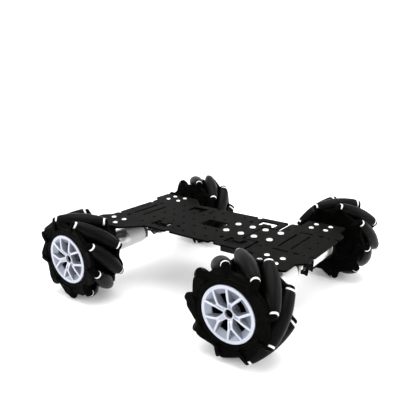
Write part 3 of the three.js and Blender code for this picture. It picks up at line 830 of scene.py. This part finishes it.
def hub_mesh():
    b = Build()
    z = RIM_Z
    # rim: a flat outer land with a fine step, a cone that slopes in, and the wall of the openings
    rim = rounded([(18.7, z - 4.7), (22.5, z - 9.6), (27.35, z - 9.6), (27.45, z - 0.5), (27.0, z), (25.95, z), (25.8, z - 0.22), (25.5, z - 0.22), (25.35, z - 0.04), (24.3, z - 0.15), (18.9, z - 3.5), (18.5, z - 4.0)],
                  [0, 0, 0.2, 0.2, 0.35, 0.1, 0.05, 0.05, 0.1, 0.5, 0.3, 0.2], 3, closed=True)
    verts, faces = lathe(rim, 120, closed=True)
    # rim faces inside r 24 mm, the inner cone and the wall of the openings, take the darker hub copy as painted shade
    b.add((verts, faces, [2 if math.hypot(*verts[f[0]][:2]) < 24.0 or math.hypot(*verts[f[2]][:2]) < 24.0 else 0 for f in faces]), 0)
    # boss
    b.add(lathe(rounded([(4.2, z - 12), (6.3, z - 12), (6.0, z - 3.6), (5.5, z - 2.2), (4.6, z - 2.2), (4.2, z - 2.6)], [0, 0, 0.8, 0.25, 0.25, 0.15], 3, closed=True), 64, closed=True), 0)

    def lift(x, y, h):
        return h + swell(x, y) * (1.0 if h > z - 6.4 else 0.6)

    for k in range(5):
        m = Matrix.Rotation(-math.radians(72 * k), 4, "Z")
        # the floor between the fork's two arms, which slopes up to the rim; it takes the darker hub copy as painted
        # shade
        b.add(levels([(-1.9, 9.0), (1.9, 9.0), (2.6, 12.0), (7.5, 21.6), (3, 22.6), (-3, 22.6), (-7.5, 21.6), (-2.6, 12.0)], [], [(z - 7.6, 0), (z - 5.4, 0)],
                     lambda x, y, h: h + max(0.0, math.hypot(x, y) - 11.5) * 0.22), 2, m)
        # the stem's floor between its two ridges
        b.add(levels(fillet([(-2.0, 4.8), (2.0, 4.8), (1.6, 11.6), (0.9, 13.4), (-0.9, 13.4), (-1.6, 11.6)], [0, 0, 0.5, 0.5, 0.5, 0.5], 3), [], [(z - 7.6, 0), (z - 3.75, 0), (z - 3.6, -0.15)], lift), 0, m)
        # two ridges with drafted sides: each runs up the stem, then leans out to the rim; their lower side faces take
        # the darker hub copy as painted shade
        for s in both:
            cl = np.array(smooth_path([(s * x, y) for x, y in ((2.0, 4.8), (1.75, 7.6), (1.6, 10.2), (1.62, 11.9), (2.1, 13.1), (3.1, 15.0), (5.2, 18.8), (7.9, 23.7))], 4))
            d = np.gradient(cl, axis=0)
            d /= np.linalg.norm(d, axis=1)[:, None]
            nrm = np.stack([d[:, 1], -d[:, 0]], 1)
            rr = np.linalg.norm(cl, axis=1)
            half = np.interp(rr, [4.6, 9, 13, 23], [0.85, 0.92, 1.15, 1.22])
            loop = np.concatenate([cl + nrm * half[:, None], (cl - nrm * half[:, None])[::-1]])
            b.add(hub_tops(levels(loop, [], [(z - 7.8, 0.6), (z - 4.6, 0.2), (z - 3.5, 0.02), (z - 3.2, -0.08), (z - 3.0, -0.36)], lift), z - 4.0), 0, m)
        # the crotch of the fork, which joins the ridges in a curve; its lower side faces take the darker hub copy as
        # painted shade
        cro = np.array(smooth_path([(-2.5, 14.2), (-1.4, 13.3), (0, 13.0), (1.4, 13.3), (2.5, 14.2)], 4))
        d = np.gradient(cro, axis=0)
        d /= np.linalg.norm(d, axis=1)[:, None]
        nrm = np.stack([d[:, 1], -d[:, 0]], 1)
        loop = np.concatenate([cro + nrm * 0.6, (cro - nrm * 0.6)[::-1]])
        b.add(hub_tops(levels(loop, [], [(z - 7.6, 0.5), (z - 4.4, 0.1), (z - 3.8, -0.05), (z - 3.5, -0.3)], lift), z - 4.2), 0, m)
    # black core behind the insert, close under the boss face
    b.add(lathe(rounded([(0, -19.4), (8, -19.4), (8, z - 12.2), (4.3, z - 11.6), (4.3, z - 5.0), (0, z - 5.0)], [0, 0.4, 0.6, 0.2, 0.3, 0], 2), 56), 1)
    b.add(lathe([(22.2, -12.5), (25.3, -12.5), (25.3, 10.7), (23.0, 11.6), (22.2, 11.6)], 96, closed=True), 1)
    # web that closes the wheel behind the openings
    b.add(lathe([(7.4, -12.2), (23.4, -12.2), (23.4, -10.8), (7.4, -10.8)], 96, closed=True), 1)
    return b.mesh("hub", [M_HUB, M_FLANGE, M_HUB_PAINTED_SHADE], 34)


HUB = hub_mesh()


def coupling_mesh():
    b = Build()
    R = 6.93
    outline = fillet([(R * math.cos(math.radians(60 * i)), R * math.sin(math.radians(60 * i))) for i in range(6)], 0.35, 2)
    b.add(levels(outline, [circle(0, 0, 2.05, 28)], [(-37, -0.5), (-36.5, 0), (-19.5, 0), (-19.0, -0.5)]), 0)
    for a in (30, 210):
        for z in (-33.5,):
            m = Matrix.Rotation(math.radians(a), 4, "Z") @ Matrix.Translation((6.0, 0, z)) @ Matrix.Rotation(math.radians(90), 4, "Y")
            b.add(lathe(rounded([(0, -0.7), (1.45, -0.7), (1.45, 0.25), (0.8, 0.25), (0.8, -0.5), (0, -0.5)], 0.05, 1), 20), 1, m)
    # gearbox output shaft, with its flat
    shaft = circle(0, 0, 2.0, 32)
    shaft = shaft[shaft[:, 1] < 1.55]
    b.add(levels(shaft, [], [(-40.0, 0), (-30.0, 0), (-29.7, -0.3)]), 2)
    return b.mesh("coupling", [M_BRASS, M_STEEL, M_STEEL], 32)


COUPLING = coupling_mesh()

for name, x, side, hand, phase, spoke, frame_body in WHEELS:
    wheel = name + "_wheel"
    drive = Matrix.Translation((x, 0, 0)) @ (Matrix.Identity(4) if side > 0 else Matrix.Rotation(math.pi, 4, "Z"))
    o = place(BRACKET, name + "_bracket", metres(drive))
    ride(soften(o), frame_body, [name + "_motor_bracket"])
    # gearmotor: its local +Z points outboard
    axis = basis((-side, 0, 0), (0, 0, 1), (0, side, 0), (x, side * FACE_Y, AXLE_Z))
    o = place(GEARMOTOR, name + "_gear_motor", metres(axis))
    ride(o, frame_body, [name + "_gearmotor"])
    # the lead's plug and its wires, as far as they run clear of the motor
    b = Build()
    m = -side
    b.add(box(-1.6, 1.9, -61.0, 1.6, 5.6, -56.85, 0.3), 0, axis @ Matrix.Translation((m * 10.0, 0, 0)))
    for j in range(5):
        q = 0.95 * (j - 2)
        if name.startswith("front"):
            pts = [(m * (10.4 + q * 0.6), 1.6, -60.6), (m * (11.0 + q), -1.2, -61.8), (m * (11.4 + 1.2 * q), -4.6 + 0.5 * j, -62.2), (m * (13.4 + q), -2.6 - 0.7 * j, -62.8), (m * (15.2 + q * 0.5), 2.0, -63.6), (m * (14.6 + q * 0.5), 9.0, -64.4), (m * (8.0 + q), 16.0, -67.6)]
        else:
            pts = [(m * (10.4 + q * 0.6), 1.6, -60.6), (m * (11.4 + q), 0.6 - 0.8 * j, -62.4), (m * (14.4 + q), 3.0 - 1.2 * j, -64.4), (m * (20 + q), 9.0 - 1.0 * j, -65.6), (m * (28 + 0.5 * q), 16.0 - 0.4 * j, -66.2), (m * 38, 20.6 - 0.1 * j, -66.6 + q * 0.9)]
        b.add(tube(smooth_path(pts, 5), 0.66, 8), 1, axis)
    ride(b.obj(name + "_lead", [M_NYLON if name == "front_right" else M_BOARD, M_WIRE], 40), frame_body)
    # bracket-to-gearbox screws
    b = Build()
    for sx in both:
        b.add(HEAD3, 0, axis @ Matrix.Translation((8.5 * sx, 0, 71.5 - FACE_Y)))
    ride(b.obj(name + "_bracket_screws", [M_PIN], 40), frame_body)

    spin = basis((-side, 0, 0), (0, 0, 1), (0, side, 0), (x, side * MID_Y, AXLE_Z))
    turn = spin @ Matrix.Rotation(-math.radians(phase), 4, "Z")
    ride(fixed(FLANGE[(hand, True)], name + "_outer_dish", metres(turn)), wheel, [name + "_outer_flange"])
    ride(fixed(FLANGE[(hand, False)], name + "_inner_dish", metres(turn)), wheel, [name + "_inner_flange"])
    ride(fixed(PINS[hand], name + "_roller_pins", metres(turn)), wheel)
    ride(fixed(HUB, name + "_hub_insert", metres(spin @ Matrix.Rotation(-math.radians(spoke), 4, "Z"))), wheel, [name + "_wheel_hub"])
    ride(place(COUPLING, name + "_coupling", metres(spin)), wheel)
    for k in range(ROLLERS):
        node = name + "_roller_" + str(k + 1)
        o = fixed(ROLLER, node + "_tyre", metres(turn @ roller_frame(hand, k)[3]))
        ride(o, node, [node])


# sleeved motor leads held up under the plates
for label, body, pts in (
        ("front", "front_frame", [(115, -0.5, 63.6), (113.6, -4.5, 65.4), (110.6, -10.4, 67.6), (106.6, -12.6, 69.0), (104.2, -8.6, 69.3), (103.8, 1, 69.3), (103, 12, 69.3), (100.4, 23, 69.3), (96.6, 30, 69.3), (91.6, 31, 69.3), (88.9, 25, 69.3), (88.7, 8, 69.3), (88.6, -11, 69.3), (85, -17, 69.2), (76, -19, 68.6)]),
        ("rear_right", "rear_frame", [(-67.4, -2.8, 69.0), (-71, -12, 69.2), (-71.5, -20, 69.3), (-68, -26.6, 69.3), (-61, -29.6, 69.3), (-54, -30, 69.3), (-46, -30, 69.3), (-40, -28.6, 69.2), (-35, -24, 68.4)]),
        ("rear_left", "rear_frame", [(-67.4, 2.8, 69.0), (-71, 14, 69.2), (-71.5, 28, 69.3), (-69, 37, 69.3), (-62, 43.6, 69.3), (-54, 44.5, 69.3), (-47, 43.6, 69.3), (-40, 38, 69.2), (-35, 29, 68.4)])):
    b = Build()
    b.add(tube(smooth_path(pts, 6), 2.2, 20), 0, Matrix.Translation((0, 0, DROP)))
    ride(b.obj("lead_sleeve_" + label, [M_WIRE], 40), body)


# ------------------------------------------------------------------ camera, as far round and as high as the photograph's
cam_data = bpy.data.cameras.new("camera")
cam_data.sensor_width = 36
cam_data.lens = 40.74
cam_data.shift_x, cam_data.shift_y = -0.0241, 0.0859
cam_data.clip_start, cam_data.clip_end = 0.01, 50
cam = bpy.data.objects.new("camera", cam_data)
scene.collection.objects.link(cam)
az, el = math.radians(35.32), math.radians(20.71)
back = Vector((math.sin(az) * math.cos(el), -math.cos(az) * math.cos(el), math.sin(el)))
cam.location = (0.3034, -0.4226, 0.2466)
cam.rotation_mode = "QUATERNION"
cam.rotation_quaternion = (-back).to_track_quat("-Z", "Y")
scene.camera = cam

# ------------------------------------------------------------------ floor: a wide white bowl, so that every view has the same pale ground
floor_prof = [(0.0001, 0.0)] + [(r, 0.0) for r in (0.3, 0.6, 1.0, 1.6, 2.2)] + [(2.2 + 1.2 * math.sin(math.radians(a)), 1.2 - 1.2 * math.cos(math.radians(a))) for a in range(6, 91, 6)] + [(3.4, 2.6)]
verts, faces = lathe([(r * 1000, z * 1000) for r, z in floor_prof], 96)
fb = Build().add((verts, faces))
me = bpy.data.meshes.new("floor")
me.from_pydata((np.concatenate(fb.v) * MM).tolist(), [], fb.f)
me.shade_smooth()
m_floor, t, bs = material("floor_paper", (0.93, 0.93, 0.93), 0.7, 0.0)
bs.inputs["Emission Color"].default_value = (1, 1, 1, 1)
bs.inputs["Emission Strength"].default_value = 0.165
n = noise(t, 4.0, 2.0)
vary_color(t, bs, n, (0.925, 0.925, 0.925), (0.935, 0.935, 0.935))
me.materials.append(m_floor)
floor = place(me, "floor")


# ------------------------------------------------------------------ light
def area_light(name, location, target, size, power, size_y=None):
    d = bpy.data.lights.new(name, "AREA")
    d.energy = power
    d.shape = "RECTANGLE"
    d.size, d.size_y = size, size_y or size
    o = bpy.data.objects.new(name, d)
    scene.collection.objects.link(o)
    o.location = location
    o.rotation_mode = "QUATERNION"
    o.rotation_quaternion = (Vector(target) - Vector(location)).to_track_quat("-Z", "Y")
    return o


area_light("overhead", (0.0, 0.1, 1.6), (0, 0, 0), 1.6, 26)
area_light("left_front", (-1.1, -1.3, 0.9), (0, 0, 0.04), 0.9, 9)
area_light("right_back", (1.4, 0.8, 1.0), (0, 0, 0.04), 0.9, 9)
w = bpy.data.worlds.new("studio")
scene.world = w
w.use_nodes = True
w.node_tree.nodes["Background"].inputs["Color"].default_value = (1, 1, 1, 1)
w.node_tree.nodes["Background"].inputs["Strength"].default_value = 0.9
scene.view_settings.view_transform = "Standard"
scene.view_settings.look = "None"
scene.view_settings.exposure = 0.0
